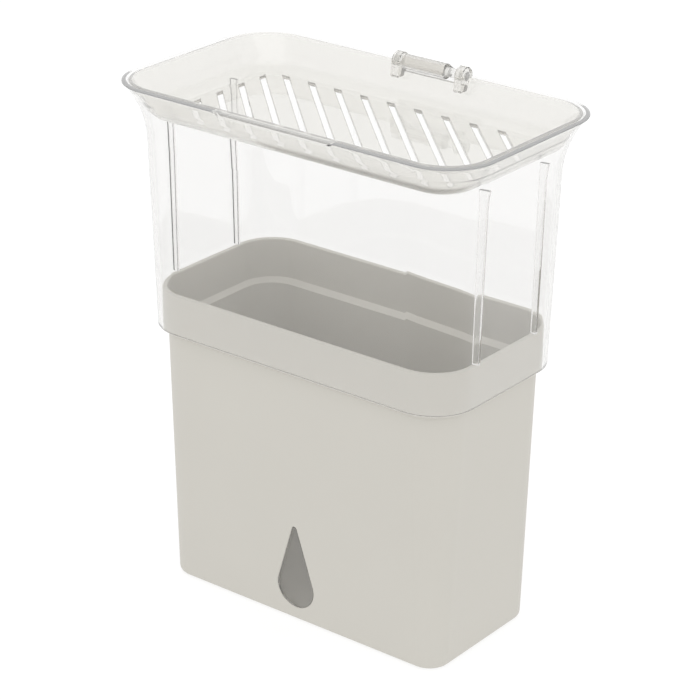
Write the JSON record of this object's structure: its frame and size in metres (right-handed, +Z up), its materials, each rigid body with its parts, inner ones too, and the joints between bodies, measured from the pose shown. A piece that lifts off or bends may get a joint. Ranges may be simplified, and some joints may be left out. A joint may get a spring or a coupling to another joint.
{
  "type": "herb keeper",
  "caption": "Tall rounded-rectangular herb keeper: opaque water reservoir with a teardrop level window, clear flared sleeve and a hinged, slotted tray lid.",
  "frame": {"origin": "middle of the reservoir's underside, on the table", "axes": "+Z up; +X along the long side, to the right as the level window is faced; +Y towards the hinge at the back, so the window and the finger tab face -Y"},
  "size_m": [0.2, 0.1138, 0.2567],
  "materials": {
    "warm_grey_plastic": "satin, opaque",
    "clear_plastic": "polished, transparent",
    "frosted_plastic": "frosted, translucent",
    "pin_plastic": "polished, translucent"
  },
  "bodies": {
    "reservoir_body": {"reservoir": "warm_grey_plastic", "level_window": "clear_plastic"},
    "sleeve_body": {"sleeve": "clear_plastic"},
    "lid_body": {"vented_lid": "frosted_plastic", "hinge_pin": "pin_plastic"}
  },
  "joints": [
    {"name": "sleeve_lift", "type": "slide", "parent": "reservoir_body", "child": "sleeve_body", "axis": [0, 0, 1], "range_m": [0, 0.06]},
    {"name": "lid_hinge", "type": "hinge", "parent": "sleeve_body", "child": "lid_body", "pos_m": [0.007, 0.05, 0.2524], "axis": [-1, 0, 0], "range_deg": [0, 110]}
  ]
}
